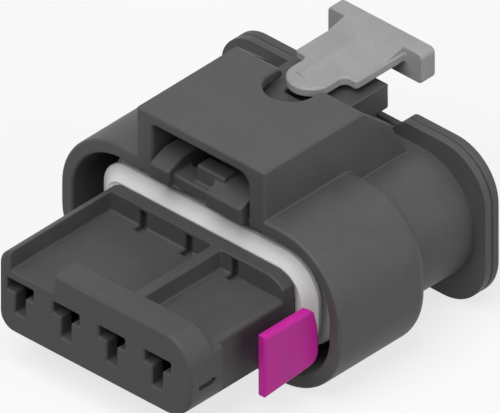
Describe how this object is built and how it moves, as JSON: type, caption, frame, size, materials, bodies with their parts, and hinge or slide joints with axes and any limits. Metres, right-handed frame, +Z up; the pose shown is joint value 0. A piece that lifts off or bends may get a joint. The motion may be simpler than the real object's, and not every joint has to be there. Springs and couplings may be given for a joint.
{
  "type": "connector housing",
  "caption": "Sealed rectangular cable connector housing with a latch lever, a grey position lock slider, a side-entry violet secondary lock and a white interface seal.",
  "frame": {"origin": "centre of the contact row on the flat mating face", "axes": "-Y leaves the mating face towards the header, +Y runs to the cable end, +Z up towards the latch, +X across the contact row towards the secondary lock"},
  "size_m": [0.0244, 0.0282, 0.0158],
  "materials": {
    "housing_black": "satin, fine moulded texture",
    "carrier_black": "satin, fine moulded texture",
    "lever_black": "satin",
    "cap_black": "satin",
    "seal_white": "soft silicone, slightly oily",
    "wire_seal_white": "soft silicone",
    "lock_grey": "satin",
    "lock_violet": "satin"
  },
  "bodies": {
    "housing": {"outer_housing": "housing_black", "contact_carrier": "carrier_black", "interface_seal": "seal_white", "wire_seal": "wire_seal_white", "rear_cap": "cap_black"},
    "lever": {"latch_lever": "lever_black"},
    "slider": {"position_lock": "lock_grey"},
    "side_lock": {"secondary_lock": "lock_violet"}
  },
  "joints": [
    {"name": "latch_press", "type": "hinge", "parent": "housing", "child": "lever", "pos_m": [0, 0.016, 0.007], "axis": [-1, 0, 0], "range_deg": [0, 8], "stiffness_Nm_per_rad": 0.1, "springref_deg": -5.73},
    {"name": "position_lock_slide", "type": "slide", "parent": "lever", "child": "slider", "axis": [0, -1, 0], "range_m": [0, 0.0018]},
    {"name": "secondary_lock_slide", "type": "slide", "parent": "housing", "child": "side_lock", "axis": [-1, 0, 0], "range_m": [0, 0.0016]}
  ]
}
